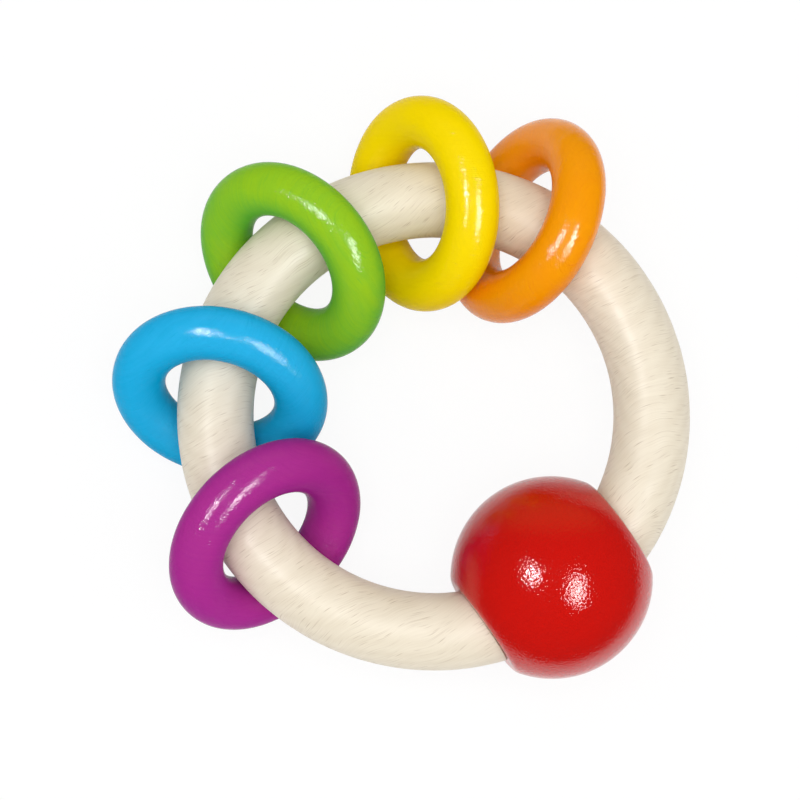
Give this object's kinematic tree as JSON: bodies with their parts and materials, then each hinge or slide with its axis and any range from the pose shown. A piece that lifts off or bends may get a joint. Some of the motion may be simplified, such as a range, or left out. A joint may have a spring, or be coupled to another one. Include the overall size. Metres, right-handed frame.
{
  "type": "ring rattle",
  "caption": "Wooden ring rattle: a round grip ring closed by a ball, with loose coloured rings threaded on it that slide and knock when shaken.",
  "frame": {"origin": "centre of the grip ring", "axes": "+Z along the grip ring's axis, upwards when the rattle lies flat; -Y towards the ball; +X to the right, seen from +Z with the ball at the bottom"},
  "size_m": [0.1106, 0.1132, 0.0368],
  "materials": {
    "beech": "natural, waxed satin",
    "dowel_beech": "bare",
    "ball_red": "stained and lacquered, semi-gloss",
    "ring_orange": "stained and lacquered, semi-gloss",
    "ring_yellow": "stained and lacquered, semi-gloss",
    "ring_green": "stained and lacquered, semi-gloss",
    "ring_blue": "stained and lacquered, semi-gloss",
    "ring_purple": "stained and lacquered, semi-gloss"
  },
  "bodies": {
    "grip": {"left_half_ring": "beech", "right_half_ring": "beech", "ball": "ball_red", "ball_dowel": "dowel_beech", "joint_dowel": "dowel_beech"},
    "orange": {"orange_ring": "ring_orange"},
    "yellow": {"yellow_ring": "ring_yellow"},
    "green": {"green_ring": "ring_green"},
    "blue": {"blue_ring": "ring_blue"},
    "purple": {"purple_ring": "ring_purple"}
  },
  "joints": [
    {"name": "orange_travel", "type": "hinge", "parent": "grip", "child": "orange", "pos_m": [0, 0, 0], "axis": [0, 0, 1], "range_deg": [-69, 0]},
    {"name": "yellow_travel", "type": "hinge", "parent": "grip", "child": "yellow", "pos_m": [0, 0, 0], "axis": [0, 0, 1], "range_deg": [0, 14]},
    {"name": "green_travel", "type": "hinge", "parent": "grip", "child": "green", "pos_m": [0, 0, 0], "axis": [0, 0, 1], "range_deg": [-14, 16]},
    {"name": "blue_travel", "type": "hinge", "parent": "grip", "child": "blue", "pos_m": [0, 0, 0], "axis": [0, 0, 1], "range_deg": [-16, 5.5]},
    {"name": "purple_travel", "type": "hinge", "parent": "grip", "child": "purple", "pos_m": [0, 0, 0], "axis": [0, 0, 1], "range_deg": [-5.5, 43]}
  ]
}
